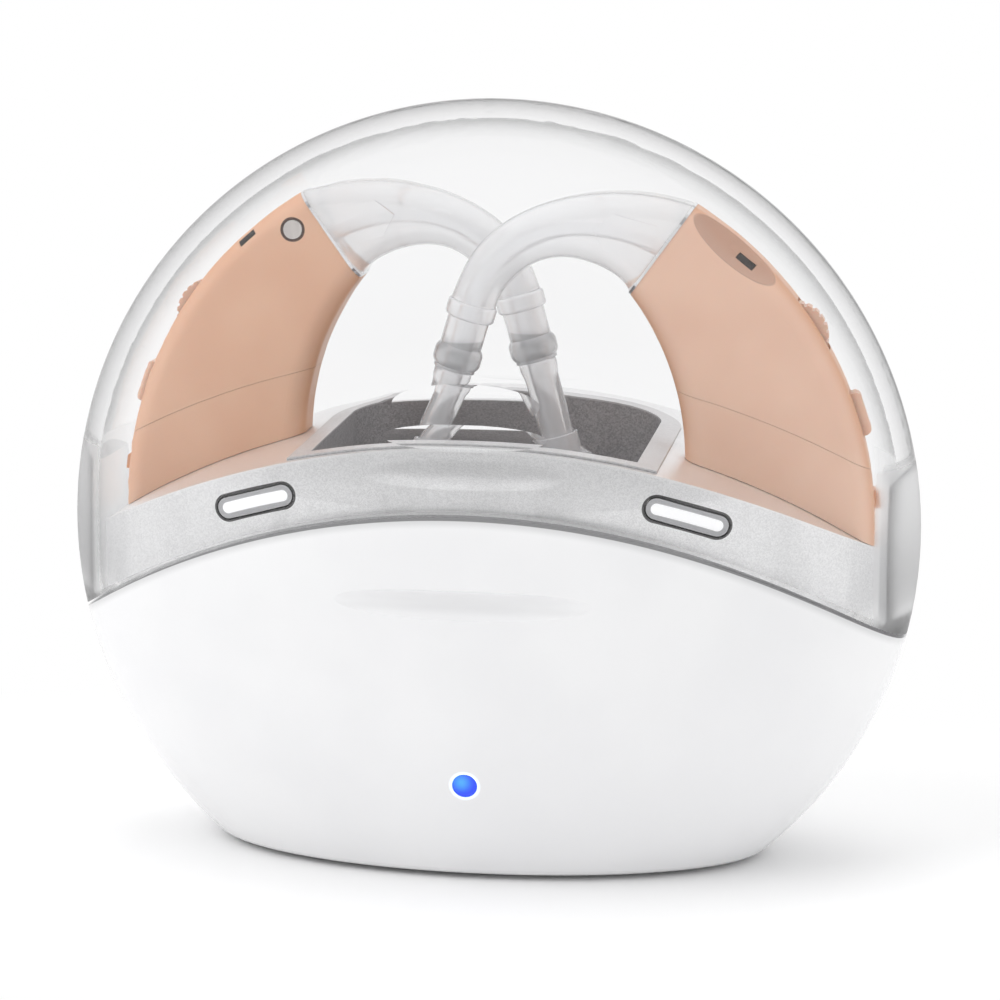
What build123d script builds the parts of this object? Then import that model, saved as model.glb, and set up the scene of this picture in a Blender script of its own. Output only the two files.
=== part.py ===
from build123d import *
import os
from math import acos, asin, cos, degrees, hypot, radians, sin, sqrt

# Hearing aid charging case: white base, arched silver deck, clear lift-off lid,
# and two behind-the-ear hearing aids standing in the deck.
# Millimetres, +Z up, the case's front faces -Y, origin on the table under its middle.

# Egg-shaped outside of the case
half_width = 44.0
half_depth = 23.0
centre_height = 34.0

# Arched seam between base and lid
seam_mid = 39.0
seam_side = 24.0
seam_gap = 0.3

# Base
base_wall = 2.2
base_edge = 1.5
ledge_thickness = 2.5
ledge_width = 1.6
shelf_thickness = 2.5
shelf_width = 3.3
cover_thickness = 2.0
cover_inset = 2.6
cover_gap = 0.15
foot_height = 0.5
foot_thickness = 1.0
foot_inset = 1.0
thumb_groove_height = 30.2
thumb_groove_reach = 12.8
thumb_groove_width = 3.0

# Cover screws
screw_inset = 3.3
screw_turn = 36.0
screw_head_radius = 1.5
screw_head_height = 1.1
screw_radius = 0.9
screw_length = 3.2
screw_gap = 0.05

# Lid
lid_wall = 2.0
lid_gap = 0.35
lug_gap = 0.35
lug_thickness = 1.8
lug_lift = 6.2
lug_slope = 45.0
grip_heights = (51.3, 47.1, 43.0)
grip_reaches = (5.4, 7.8, 9.8)
grip_widths = (3.2, 2.6, 2.4)

# Deck
deck_rise = 6.3
deck_wall = 1.8
deck_top = 2.0

# Ear-mould tray
tray_width = 35.0
tray_back = 14.8
tray_front_wall = 2.4
tray_corner = 6.5
tray_wall = 1.2
tray_rim_width = 0.9
tray_rim_rise = 0.25
tray_floor_height = 28.0
tray_gap = 0.15

# Indicator windows in the deck's front wall
window_x = 21.5
window_length = 8.2
window_height = 2.1
window_gap = 0.15
lamp_depth = 1.4

# Status light at the front of the base
status_height = 11.1
status_radius = 1.25
status_gap = 0.05
status_lamp_width = 3.0
status_lamp_depth = 1.6

# Circuit board, cell and power inlet
board_length = 36.0
board_width = 22.0
board_thickness = 1.2
post_height = 3.7
post_radius = 1.6
post_inset = 2.4
post_turn = 40.0
cell_length = 30.0
cell_width = 12.0
cell_height = 5.0
inlet_width = 8.0
inlet_height = 3.0
inlet_length = 9.6
inlet_wall = 0.4
inlet_gap = 0.2
inlet_corner = 0.9
tongue_width = 5.0
tongue_height = 0.7
tongue_length = 6.5

# Hearing aids, given for the left one: the right one is the same, turned half round
aid_offset = 3.6
aid_thickness = 7.2
aid_rounding = 2.0
aid_clearance = 2.4
spine_x = -0.8
spine_lift = 0.9
hollow_x = 8.2
hollow_lift = 7.2
hollow_step = 10.9
hook_seam_angle = 35.5
hook_seam_lift = 5.4
door_height = 6.5
door_gap = 0.03
seat_gap = 0.05
foot_root = 0.2

# Charging foot, socket and contacts
foot_length = 10.4
foot_width = 4.4
foot_depth = 2.0
socket_gap = 0.3
socket_wall = 1.0
contact_radius = 0.6
contact_spacing = 4.0
contact_length = 2.6

# Volume wheel and program button in the spine, by their angle from upright
wheel_angle = 56.0
wheel_radius = 3.7
wheel_width = 2.6
wheel_sunk = 2.8
wheel_gap = 0.3
wheel_teeth = 26
tooth_radius = 0.2
axle_radius = 0.7
axle_length = 5.0
axle_gap = 0.05
axle_play = 0.2
button_angle = 71.0
button_length = 4.4
button_width = 2.8
button_proud = 0.8
button_sunk = 1.4
button_rounding = 0.6
button_travel = 0.5
button_gap = 0.2

# Battery door lip, side disc and microphone
lip_angle = 84.0
lip_length = 1.8
lip_width = 2.4
lip_proud = 0.5
lip_bevel = 0.4
notch_radius = 1.4
notch_depth = 0.5
disc_angle = 35.0
disc_inset = 2.9
disc_radius = 1.0
disc_depth = 0.5
disc_gap = 0.05
mic_angle = 42.0
mic_length = 2.0
mic_width = 0.8
mic_depth = 0.7
mic_lean = 45.0
mic_gap = 0.05
scoop_radius = 22.0
scoop_depth = 0.8
scoop_angle = 39.5

# Hook, sound tube and ear tip
hook_heading = 28.0
hook_radii = (16.2, 10.8)
hook_turns = (39.0, 63.0)
hook_widths = (8.4, 6.8, 5.6, 5.1, 4.8, 4.6)
hook_depths = (6.8, 6.0, 5.2, 4.9, 4.7, 4.6)
hook_step = 0.05
pad_share = 0.17
pad_length = 6.2
pad_width = 3.8
pad_point = 1.6
pad_rise = 0.1
collar_radius = 2.55
collar_height = 1.8
collar_rounding = 0.4
neck_radius = 2.15
neck_height = 2.6
bulb_radius = 2.5
bulb_height = 2.8
bulb_rounding = 1.1
bore_radius = 0.9
tube_radius = 1.75
tube_length = 10.0
tip_cuff_radius = 2.2
tip_cuff_height = 2.2
tip_radius = 4.0
tip_height = 5.0
tip_rounding = 2.8
tip_wall = 0.8
tip_grip = 2.0

# Worked out from the sizes above
seam_chord = sqrt(half_width**2 - (centre_height - seam_side) ** 2)
seam_rise = seam_mid - seam_side
arch_radius = (seam_chord**2 + seam_rise**2) / (2 * seam_rise)
arch_height = seam_mid - arch_radius
reach = 4 * half_width
lid_inner_width = half_width - lid_wall
lid_inner_depth = half_depth - lid_wall
cover_top = foot_height + cover_thickness
shelf_top = cover_top + shelf_thickness
lug_face = lid_inner_width - lug_thickness
lug_top = centre_height + lug_lift
board_bottom = cover_top + post_height
board_top = board_bottom + board_thickness


def egg(inset):
    """The case's outside, moved inwards by inset: a ball squashed from front to back."""
    wide = half_width - inset
    deep = half_depth - inset
    return Pos(0, 0, centre_height) * scale(Sphere(wide), by=(1, deep / wide, 1))


def under_arch(rise):
    """Everything below the seam's arch, raised by rise."""
    return Pos(0, 0, arch_height) * Rot(90, 0, 0) * Cylinder(arch_radius + rise, reach)


def above(level):
    return Pos(0, 0, level) * Box(reach, reach, reach, align=(Align.CENTER, Align.CENTER, Align.MIN))


def upright(face, low=-half_width, high=3 * half_width):
    """A flat outline raised into an upright prism."""
    return Pos(0, 0, low) * extrude(face, high - low)


def on_arch(piece, angle):
    """Turn a piece about the arch's axis, so that +X is angle 90."""
    return Pos(0, 0, arch_height) * Rot(0, angle, 0) * Pos(0, 0, -arch_height) * piece


def along_y(face, low, high):
    """A face drawn in X and Z, run from y = low to y = high."""
    return Pos(0, high, 0) * extrude(Plane.XZ * face, high - low)


def rim_half_width():
    """Where the lid's inner wall meets the seam's arch, seen from the front."""
    lift = arch_radius**2 - lid_inner_width**2 + centre_height**2 - arch_height**2
    level = lift / (2 * (centre_height - arch_height))
    return sqrt(lid_inner_width**2 - (level - centre_height) ** 2)


def section_half(wide, deep, level):
    """Half width and half depth of an egg's level section."""
    share = sqrt(1 - ((level - centre_height) / wide) ** 2)
    return wide * share, deep * share


# The deck keeps inside the lid's lower rim, so that the lid lifts straight off
deck_half_width = rim_half_width() - lid_gap
deck_end = lug_face - lug_gap
deck_half_depth = section_half(lid_inner_width, lid_inner_depth, seam_mid)[1] - lid_gap
bottom_half_width, bottom_half_depth = section_half(half_width, half_depth, foot_height)
cover_half_width = bottom_half_width - cover_inset
cover_half_depth = bottom_half_depth - cover_inset
screw_x = (cover_half_width - screw_inset) * cos(radians(screw_turn))
screw_y = (cover_half_depth - screw_inset) * sin(radians(screw_turn))
opening_half_width = screw_x - screw_head_radius
opening_half_depth = cover_half_depth - shelf_width
post_x = (opening_half_width - post_inset) * cos(radians(post_turn))
post_y = (opening_half_depth - post_inset) * sin(radians(post_turn))
window_angle = degrees(asin(window_x / (arch_radius + deck_rise / 2)))
inlet_level = board_top + inlet_height / 2
foot_ring = arch_radius + deck_rise

# The left aid's outline: a spine just inside the lid, and a hollow that faces the middle
button_edge = aid_offset + button_width / 2
lid_reach = lid_inner_width * sqrt(1 - (button_edge / lid_inner_depth) ** 2)
spine_radius = lid_reach - aid_clearance
spine_z = centre_height + spine_lift
inner_radius = spine_radius - hollow_step
inner_x = spine_x + hollow_x
inner_z = spine_z + hollow_lift
hook_seam_height = centre_height + hook_seam_lift
first_arc = radians(hook_turns[0]) * hook_radii[0]
arc_length = first_arc + radians(hook_turns[1]) * hook_radii[1]
hook_length = collar_height + neck_height + bulb_height


def ring_angle(x, z, radius):
    """The angle from upright at which a round edge of the aids comes down on the deck's top."""
    apart = hypot(x, z - arch_height)
    share = (foot_ring**2 + apart**2 - radius**2) / (2 * foot_ring * apart)
    return degrees(acos(share) - asin(x / apart))


foot_angle = (ring_angle(spine_x, spine_z, spine_radius) + ring_angle(inner_x, inner_z, inner_radius)) / 2


def deck_outline(inset):
    """The deck seen from above: an ellipse with its two ends cut flat."""
    ends = Rectangle(2 * (deck_end - inset), 2 * half_depth)
    return Ellipse(deck_half_width - inset, deck_half_depth - inset) & ends


def deck_block(inset, rise):
    """The deck's outer block, moved inwards by inset, below the arch raised by rise."""
    block = upright(deck_outline(inset)) & egg(lid_wall + lid_gap + inset)
    return block & under_arch(rise)


def groove(height, half_length, width, front):
    """A straight finger groove with pointed ends, cut as deep as its length needs."""
    wide, deep = section_half(half_width, half_depth, height)
    depth = deep * (1 - sqrt(1 - (half_length / wide) ** 2))
    radius = width**2 / (8 * depth) + depth / 2
    y = front * (deep + radius - depth)
    return Pos(0, y, height) * Rot(0, 90, 0) * Cylinder(radius, half_width)


def window_slot(side, grow):
    """The pill-shaped outline of an indicator window, run through the deck's front wall."""
    pill = SlotOverall(window_length + 2 * grow, window_height + 2 * grow)
    level = arch_height + arch_radius + deck_rise / 2
    run = Pos(0, 0, level) * along_y(pill, -half_depth, 0)
    return on_arch(run, side * window_angle)


def socket_block(side, grow, low, high):
    """A block about the charging foot, from low to high above the deck's top."""
    length = foot_length + 2 * grow
    width = foot_width + 2 * grow
    middle = arch_height + foot_ring + (low + high) / 2
    block = Pos(0, -side * aid_offset, middle) * Box(length, width, high - low)
    return on_arch(block, side * foot_angle)


def inlet_outline(grow):
    """The power inlet's rounded outline seen from the rear, grown by grow."""
    return RectangleRounded(inlet_width + 2 * grow, inlet_height + 2 * grow, inlet_corner + grow)


def base_shell():
    shell = (egg(0) & under_arch(0)) & above(foot_height)
    shell = fillet(shell.edges().group_by(Axis.Z)[0], base_edge)
    hollow = (egg(base_wall) & under_arch(-ledge_thickness)) & above(shelf_top)
    shell -= hollow
    mouth = deck_outline(deck_wall + ledge_width) + tray_outline(tray_gap)
    shell -= upright(mouth, low=centre_height)
    shell -= upright(Ellipse(cover_half_width + cover_gap, cover_half_depth + cover_gap), 0, cover_top)
    shell -= upright(Ellipse(opening_half_width, opening_half_depth), 0, shelf_top)
    for x in (-screw_x, screw_x):
        for y in (-screw_y, screw_y):
            shell -= Pos(x, y, cover_top) * Cylinder(screw_radius + screw_gap, 2 * shelf_thickness)
    shell -= groove(thumb_groove_height, thumb_groove_reach, thumb_groove_width, -1)
    shell -= Pos(0, 0, status_height) * along_y(Circle(status_radius + status_gap), -half_depth, 0)
    shell -= Pos(0, 0, inlet_level) * along_y(inlet_outline(inlet_gap), 0, half_depth)
    return shell


def bottom_cover():
    cover = upright(Ellipse(cover_half_width, cover_half_depth), foot_height, cover_top)
    pad_seat = Ellipse(cover_half_width - foot_inset, cover_half_depth - foot_inset)
    cover -= upright(pad_seat, 0, foot_thickness)
    for x in (-screw_x, screw_x):
        for y in (-screw_y, screw_y):
            cover -= Pos(x, y, cover_top) * Cylinder(screw_radius + screw_gap, 2 * cover_thickness)
            head = Cylinder(screw_head_radius + screw_gap, 2 * screw_head_height)
            cover -= Pos(x, y, foot_thickness) * head
    for x in (-post_x, post_x):
        for y in (-post_y, post_y):
            post = Cylinder(post_radius, post_height, align=(Align.CENTER, Align.CENTER, Align.MIN))
            cover += Pos(x, y, cover_top) * post
    return cover


def foot_pad():
    outline = Ellipse(cover_half_width - foot_inset - cover_gap, cover_half_depth - foot_inset - cover_gap)
    return upright(outline, 0, foot_thickness)


def cover_screws():
    screws = []
    seat = (Align.CENTER, Align.CENTER, Align.MIN)
    for x in (-screw_x, screw_x):
        for y in (-screw_y, screw_y):
            screw = Cylinder(screw_head_radius, screw_head_height, align=seat)
            screw += Cylinder(screw_radius, screw_length, align=seat)
            screws.append(Pos(x, y, foot_thickness) * screw)
    return Compound(children=screws)


def lid_lug(side):
    """A thick end wall inside the lid, upright within and sloped on top."""
    wall = Pos(side * (lug_face + reach / 2), 0, 0) * Box(reach, reach, reach)
    slab = Box(reach, reach, reach, align=(Align.CENTER, Align.CENTER, Align.MAX))
    return wall & Pos(side * lug_face, 0, lug_top) * Rot(0, -side * lug_slope, 0) * slab


def lid():
    dome = egg(0) - (egg(lid_wall) - lid_lug(-1) - lid_lug(1))
    dome -= under_arch(seam_gap)
    for height, half_length, width in zip(grip_heights, grip_reaches, grip_widths):
        for front in (-1, 1):
            dome -= groove(height, half_length, width, front)
    return dome


def tray_outline(grow):
    """Straight sides, rounded back corners, and a front that runs along the deck's front wall."""
    back = tray_back + grow
    block = RectangleRounded(tray_width + 2 * grow, 4 * back, tray_corner + grow)
    return Pos(0, -back) * block & deck_outline(tray_front_wall - grow)


def deck():
    block = deck_block(0, deck_rise) - under_arch(0)
    block -= deck_block(deck_wall, deck_rise - deck_top)
    block -= upright(tray_outline(tray_gap))
    for side in (-1, 1):
        block -= window_slot(side, window_gap)
        block -= socket_block(side, socket_gap, -2 * deck_top, deck_top)
    return block


def ear_mould_tray():
    tray = upright(tray_outline(0), tray_floor_height) & under_arch(deck_rise)
    rim = upright(tray_outline(tray_rim_width)) & under_arch(deck_rise + tray_rim_rise)
    tray += rim - under_arch(deck_rise)
    bowl = upright(tray_outline(-tray_wall), tray_floor_height + tray_wall)
    bowl = fillet(bowl.faces().sort_by(Axis.Z)[0].edges(), tray_corner / 2)
    return tray - bowl


def indicator_window(side):
    return window_slot(side, 0) & (deck_block(0, deck_rise) - deck_block(deck_wall, deck_rise))


def indicator_lamp(side):
    band = deck_block(deck_wall, deck_rise) - deck_block(deck_wall + lamp_depth, deck_rise)
    return window_slot(side, -window_gap) & band


def status_light():
    pipe = Pos(0, 0, status_height) * along_y(Circle(status_radius), -half_depth, -board_width / 2)
    return pipe & egg(0)


def status_lamp():
    height = status_height + status_radius - board_top
    y = -board_width / 2 + status_lamp_depth / 2
    return Pos(0, y, board_top + height / 2) * Box(status_lamp_width, status_lamp_depth, height)


def circuit_board():
    return Pos(0, 0, board_bottom + board_thickness / 2) * Box(board_length, board_width, board_thickness)


def battery_cell():
    cell = Box(cell_length, cell_width, cell_height)
    cell = fillet(cell.edges().filter_by(Axis.X), 1)
    return Pos(0, 0, board_top + cell_height / 2) * cell


def power_inlet():
    """A small metal socket on the board, open to the rear, with its contact tongue."""
    y = board_width / 2 - 2
    inlet = along_y(inlet_outline(0), y, y + inlet_length)
    inlet -= along_y(inlet_outline(-inlet_wall), y + inlet_wall, y + 2 * inlet_length)
    inlet += along_y(Rectangle(tongue_width, tongue_height), y, y + tongue_length)
    return Pos(0, 0, inlet_level) * inlet


def aid_socket(side):
    """A small cup under the deck's top, which takes the aid's charging foot."""
    cup_floor = -foot_depth - socket_gap - socket_wall
    cup = socket_block(side, socket_gap + socket_wall, cup_floor, 0)
    cup = cup & under_arch(deck_rise - deck_top)
    return cup - socket_block(side, socket_gap, cup_floor + socket_wall, deck_top)


def charging_contacts(side):
    pins = []
    for x in (-contact_spacing / 2, contact_spacing / 2):
        level = arch_height + foot_ring - foot_depth - contact_length / 2
        pin = Pos(x, -side * aid_offset, level) * Cylinder(contact_radius, contact_length)
        pins.append(on_arch(pin, side * foot_angle))
    return pins


def place_aid(piece, side):
    """Move a left hearing aid's piece back to its row, or turn it round to the right."""
    placed = Pos(0, aid_offset, 0) * piece
    if side > 0:
        placed = Rot(0, 0, 180) * placed
    return placed


def on_spine(piece, angle, radius):
    """Set a piece on the left aid's spine: its +Z then points straight out."""
    return Pos(spine_x, 0, spine_z) * Rot(0, -angle, 0) * Pos(0, 0, radius) * piece


def hook_side(past):
    """Everything on the hook's side of the seam between shell and hook, or past it."""
    block = Box(reach, reach, reach, align=(Align.MIN, Align.CENTER, Align.CENTER))
    return Pos(0, 0, hook_seam_height) * Rot(0, -hook_seam_angle, 0) * Pos(past, 0, 0) * block


def rounded_edge(edge):
    """The middle of the rounding between the spine and a side face, with +Z straight out."""
    out = aid_rounding * (1 - cos(radians(mic_lean)))
    return Pos(0, edge * (aid_thickness / 2 - out), -out) * Rot(-edge * mic_lean, 0, 0)


def aid_body():
    """The shell and battery door as one rounded, curved body, with a scoop along one edge."""
    body = Pos(spine_x, 0, spine_z) * Rot(90, 0, 0) * Cylinder(spine_radius, aid_thickness)
    body -= Pos(inner_x, 0, inner_z) * Rot(90, 0, 0) * Cylinder(inner_radius, aid_thickness)
    body = (body - hook_side(aid_rounding)) & above(seam_side)
    body = fillet(body.edges().filter_by(GeomType.CIRCLE), aid_rounding)
    body -= hook_side(0)
    body -= under_arch(deck_rise + seat_gap)
    slot = Rot(90, 0, 0) * Cylinder(wheel_radius + wheel_gap, wheel_width + 2 * wheel_gap)
    slot += Rot(90, 0, 0) * Cylinder(axle_radius + axle_gap, axle_length + axle_play)
    body -= on_spine(slot, wheel_angle, spine_radius - wheel_sunk)
    well_depth = button_sunk + button_travel + button_gap
    well = Box(button_length + 2 * button_gap, button_width + 2 * button_gap, 2 * well_depth)
    body -= on_spine(well, button_angle, spine_radius)
    ball = Pos(0, 0, scoop_radius - scoop_depth) * Sphere(scoop_radius)
    return body - on_spine(rounded_edge(1) * ball, scoop_angle, spine_radius)


def disc_spot(sunk):
    """The place of the side disc, sunk into the aid's front face, with its axis along Y."""
    return on_spine(Pos(0, sunk - aid_thickness / 2, -disc_inset) * Rot(90, 0, 0), disc_angle, spine_radius)


def aid_shell(body):
    shell = body - under_arch(deck_rise + door_height)
    shell -= disc_spot(0) * Cylinder(disc_radius + disc_gap, 2 * disc_depth)
    for edge in (-1, 1):
        shell -= microphone_slot(edge, mic_gap)
    return shell


def battery_door(body):
    door = body & under_arch(deck_rise + door_height - door_gap)
    lip = Box(lip_length, lip_width, 2 * lip_proud)
    lip = chamfer(lip.edges().filter_by(Axis.Y).sort_by(Axis.Z)[-1], lip_bevel)
    notch = Pos(-lip_length / 2 - notch_radius / 2, 0, notch_radius - notch_depth) * Rot(90, 0, 0)
    door -= on_spine(notch * Cylinder(notch_radius, lip_width), lip_angle, spine_radius)
    door += on_spine(lip, lip_angle, spine_radius)
    return door + Pos(0, -aid_offset, 0) * socket_block(-1, 0, -foot_depth, foot_root)


def microphone_slot(edge, grow):
    """A small slot across the rounded edge between the spine and a side face."""
    depth = scoop_depth + mic_depth
    slot = Box(mic_length + 2 * grow, mic_width + 2 * grow, 2 * (depth + grow))
    return on_spine(rounded_edge(edge) * slot, mic_angle, spine_radius)


def microphone_inserts(body):
    """Dark inserts, each with its top flush with the shell."""
    return [microphone_slot(edge, 0) & body for edge in (-1, 1)]


def side_disc():
    return disc_spot(disc_depth / 2) * Cylinder(disc_radius, disc_depth)


def volume_wheel():
    wheel = Cylinder(wheel_radius, wheel_width)
    for tooth in range(wheel_teeth):
        turn = Rot(0, 0, tooth * 360 / wheel_teeth)
        wheel -= turn * Pos(wheel_radius, 0, 0) * Cylinder(tooth_radius, wheel_width)
    wheel += Cylinder(axle_radius, axle_length)
    return on_spine(Rot(90, 0, 0) * wheel, wheel_angle, spine_radius - wheel_sunk)


def program_button():
    cap = Box(button_length, button_width, button_proud + button_sunk)
    cap = fillet(cap.edges().group_by(Axis.Z)[-1], button_rounding)
    return on_spine(Pos(0, 0, (button_proud - button_sunk) / 2) * cap, button_angle, spine_radius)


def seam_reach(x, z, radius):
    """How far along the seam between shell and hook a round edge of the body lies."""
    lean = radians(hook_seam_angle)
    along = -x * sin(lean) + (z - hook_seam_height) * cos(lean)
    across = x * cos(lean) + (z - hook_seam_height) * sin(lean)
    return along + sqrt(radius**2 - across**2)


seam_outer = seam_reach(spine_x, spine_z, spine_radius)
seam_inner = seam_reach(inner_x, inner_z, inner_radius)


def hook_plane(run):
    """The section plane after a run along the hook's two arcs, from the seam's middle."""
    lean = radians(hook_seam_angle)
    middle = (seam_outer + seam_inner) / 2
    spot = Vector(-sin(lean) * middle, 0, hook_seam_height + cos(lean) * middle)
    heading = radians(hook_heading)
    for radius, turn in zip(hook_radii, hook_turns):
        step = min(run / radius, radians(turn))
        centre = spot + Vector(sin(heading), 0, -cos(heading)) * radius
        heading -= step
        spot = centre + Vector(-sin(heading), 0, cos(heading)) * radius
        run -= step * radius
    return Plane(spot, x_dir=(0, 1, 0), z_dir=(cos(heading), 0, sin(heading)))


def rod(radius, low, high):
    """A round length of the sound path, measured down from the hook's arc."""
    piece = Cylinder(radius, high - low, align=(Align.CENTER, Align.CENTER, Align.MIN))
    return hook_plane(arc_length) * Pos(0, 0, low) * piece


def bead(radius, low, high, rounding):
    """A round length with rounded ends."""
    piece = Cylinder(radius, high - low, align=(Align.CENTER, Align.CENTER, Align.MIN))
    piece = fillet(piece.edges().filter_by(GeomType.CIRCLE), rounding)
    return hook_plane(arc_length) * Pos(0, 0, low) * piece


def hook_pads():
    """A low five-sided pad on each flat of the hook, near the seam."""
    half = pad_length / 2
    edge = pad_width / 2
    tip = half - pad_point
    outline = Polyline((-half, -edge), (tip, -edge), (half, 0), (tip, edge), (-half, edge), close=True)
    flat = hook_plane(pad_share * arc_length)
    pad = along_y(make_face(outline), -aid_thickness / 2 - pad_rise, aid_thickness / 2 + pad_rise)
    heading = degrees(asin(flat.z_dir.Z))
    return Pos(flat.origin) * Rot(0, -heading, 0) * pad


def aid_hook():
    """A curved horn that narrows from the seam to a collar, a sleeve and a barbed end."""
    seam_width = seam_outer - seam_inner - 2 * hook_step
    lean = radians(hook_seam_angle)
    start = Plane(hook_plane(0).origin, x_dir=(0, 1, 0), z_dir=(cos(lean), 0, sin(lean)))
    sections = [start * RectangleRounded(aid_thickness - 2 * hook_step, seam_width, aid_rounding)]
    count = len(hook_widths)
    for index, (width, depth) in enumerate(zip(hook_widths, hook_depths)):
        share = (index + 1) / count
        corner = aid_rounding + (min(width, depth) / 2 - hook_step - aid_rounding) * share
        sections.append(hook_plane(share * arc_length) * RectangleRounded(depth, width, corner))
    hook = loft(sections) + hook_pads()
    hook += bead(collar_radius, 0, collar_height, collar_rounding)
    hook += rod(neck_radius, 0, hook_length)
    hook += bead(bulb_radius, collar_height + neck_height, hook_length, bulb_rounding)
    runs = (0, first_arc / 2, first_arc, (first_arc + arc_length) / 2, arc_length)
    spots = [hook_plane(run).origin for run in runs]
    line = Wire([ThreePointArc(*spots[:3]), ThreePointArc(*spots[2:])])
    hook -= sweep(hook_plane(0) * Circle(bore_radius), path=line)
    return hook - rod(bore_radius, 0, hook_length)


def sound_tube():
    low = hook_length
    high = hook_length + tube_length
    return rod(tube_radius, low, high) - rod(bore_radius, low, high)


def ear_tip():
    """A soft open dome on the tube's end, with a short cuff about the tube."""
    low = hook_length + tube_length - tip_grip
    tip = rod(tip_cuff_radius, low, low + tip_cuff_height)
    crown = low + tip_cuff_height
    skirt = Cylinder(tip_radius, tip_height, align=(Align.CENTER, Align.CENTER, Align.MIN))
    skirt = fillet(skirt.edges().filter_by(GeomType.CIRCLE).sort_by(Axis.Z)[0], tip_rounding)
    tip += hook_plane(arc_length) * Pos(0, 0, crown) * skirt
    tip -= rod(tip_radius - tip_wall, crown + tip_rounding, crown + tip_height)
    tip -= rod(bore_radius, low, crown + tip_height)
    return tip - rod(tube_radius, low, low + tip_grip)


nodes = {
    "base_shell": base_shell(),
    "bottom_cover": bottom_cover(),
    "foot_pad": foot_pad(),
    "cover_screws": cover_screws(),
    "deck": deck(),
    "ear_mould_tray": ear_mould_tray(),
    "status_light": status_light(),
    "status_lamp": status_lamp(),
    "circuit_board": circuit_board(),
    "battery_cell": battery_cell(),
    "power_inlet": power_inlet(),
    "lid": lid(),
}

body = aid_body()
for side, name in ((-1, "left"), (1, "right")):
    nodes[name + "_indicator_window"] = indicator_window(side)
    nodes[name + "_indicator_lamp"] = indicator_lamp(side)
    nodes[name + "_aid_socket"] = aid_socket(side)
    pins = charging_contacts(side)
    for pin in pins:
        nodes[name + "_aid_socket"] -= pin
    nodes[name + "_charging_contacts"] = Compound(children=pins)
    nodes[name + "_aid_shell"] = place_aid(aid_shell(body), side)
    nodes[name + "_battery_door"] = place_aid(battery_door(body), side)
    nodes[name + "_hook"] = place_aid(aid_hook(), side)
    nodes[name + "_sound_tube"] = place_aid(sound_tube(), side)
    nodes[name + "_ear_tip"] = place_aid(ear_tip(), side)
    nodes[name + "_volume_wheel"] = place_aid(volume_wheel(), side)
    nodes[name + "_program_button"] = place_aid(program_button(), side)
    nodes[name + "_side_disc"] = place_aid(side_disc(), side)
    inserts = [place_aid(insert, side) for insert in microphone_inserts(body)]
    nodes[name + "_microphone_inserts"] = Compound(children=inserts)

os.makedirs("parts", exist_ok=True)
for name, piece in nodes.items():
    export_step(piece, "parts/" + name + ".step")
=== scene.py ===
from math import asin, cos, pi, radians, sin, sqrt

import bmesh
import bpy
from mathutils import Matrix, Vector


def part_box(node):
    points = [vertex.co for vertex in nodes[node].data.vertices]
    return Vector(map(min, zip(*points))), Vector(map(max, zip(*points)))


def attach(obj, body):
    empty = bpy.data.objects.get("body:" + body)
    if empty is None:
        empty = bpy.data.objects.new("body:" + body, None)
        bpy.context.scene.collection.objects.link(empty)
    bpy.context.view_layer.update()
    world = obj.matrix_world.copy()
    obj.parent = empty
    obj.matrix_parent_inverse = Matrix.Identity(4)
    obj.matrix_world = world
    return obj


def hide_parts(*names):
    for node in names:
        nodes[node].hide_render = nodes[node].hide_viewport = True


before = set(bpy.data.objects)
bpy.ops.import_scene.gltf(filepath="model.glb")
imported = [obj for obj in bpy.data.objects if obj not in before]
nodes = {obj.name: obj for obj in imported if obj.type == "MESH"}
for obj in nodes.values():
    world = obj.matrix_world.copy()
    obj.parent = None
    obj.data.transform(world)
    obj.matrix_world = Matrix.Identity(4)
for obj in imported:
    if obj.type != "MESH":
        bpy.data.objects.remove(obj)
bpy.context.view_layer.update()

mm = 0.001


# Base shell
# The lower half of the egg: one white moulding in glossy plastic, with a thumb groove across
# its front. It stands on the bottom cover's pad, and the deck and the lid sit on its arched top.
white = (0.90, 0.90, 0.907)
white_shade = (0.87, 0.87, 0.88)
# Painted shade at the seam with the lid: a dark grey line, and a softer shade below it.
seam_shadow_grey = (0.23, 0.23, 0.235)
seam_strip = 0.28 * mm
seam_edge = 0.06 * mm
seam_soft = 0.9 * mm
seam_shade = 0.28
halo = (0.55, 0.80, 1.0)
halo_width = 0.45 * mm
front_fade = 5 * mm


def node(tree, kind, inputs=(), **settings):
    """A shader node with its settings, and its inputs set to values or linked to sockets."""
    made = tree.nodes.new("ShaderNode" + kind)
    for name, value in settings.items():
        setattr(made, name, value)
    for name, value in dict(inputs).items():
        if isinstance(value, bpy.types.NodeSocket):
            tree.links.new(value, made.inputs[name])
        else:
            made.inputs[name].default_value = value
    return made


def math(tree, operation, first, second=0.0, third=0.0):
    """The value of a Math node."""
    return node(tree, "Math", {0: first, 1: second, 2: third}, operation=operation).outputs[0]


def blend(tree, share, first, second):
    """The colour between first and second by share."""
    made = node(tree, "Mix", {"Factor": share}, data_type="RGBA")
    for index, value in ((6, first), (7, second)):
        if isinstance(value, bpy.types.NodeSocket):
            tree.links.new(value, made.inputs[index])
        else:
            made.inputs[index].default_value = (*value, 1.0)
    return made.outputs[2]


def smooth_step(tree, value, low, high, start=0.0, end=1.0):
    """A value eased from start at low to end at high."""
    inputs = {"Value": value, "From Min": low, "From Max": high, "To Min": start, "To Max": end}
    return node(tree, "MapRange", inputs, interpolation_type="SMOOTHSTEP").outputs[0]


def noise(tree, place, scale, detail=2.0, roughness=0.5):
    """The value of a Noise Texture at a place."""
    inputs = {"Vector": place, "Scale": scale, "Detail": detail, "Roughness": roughness}
    return node(tree, "TexNoise", inputs).outputs[0]


def point(tree):
    """The point on the piece, as one vector."""
    return node(tree, "TexCoord").outputs["Object"]


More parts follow.
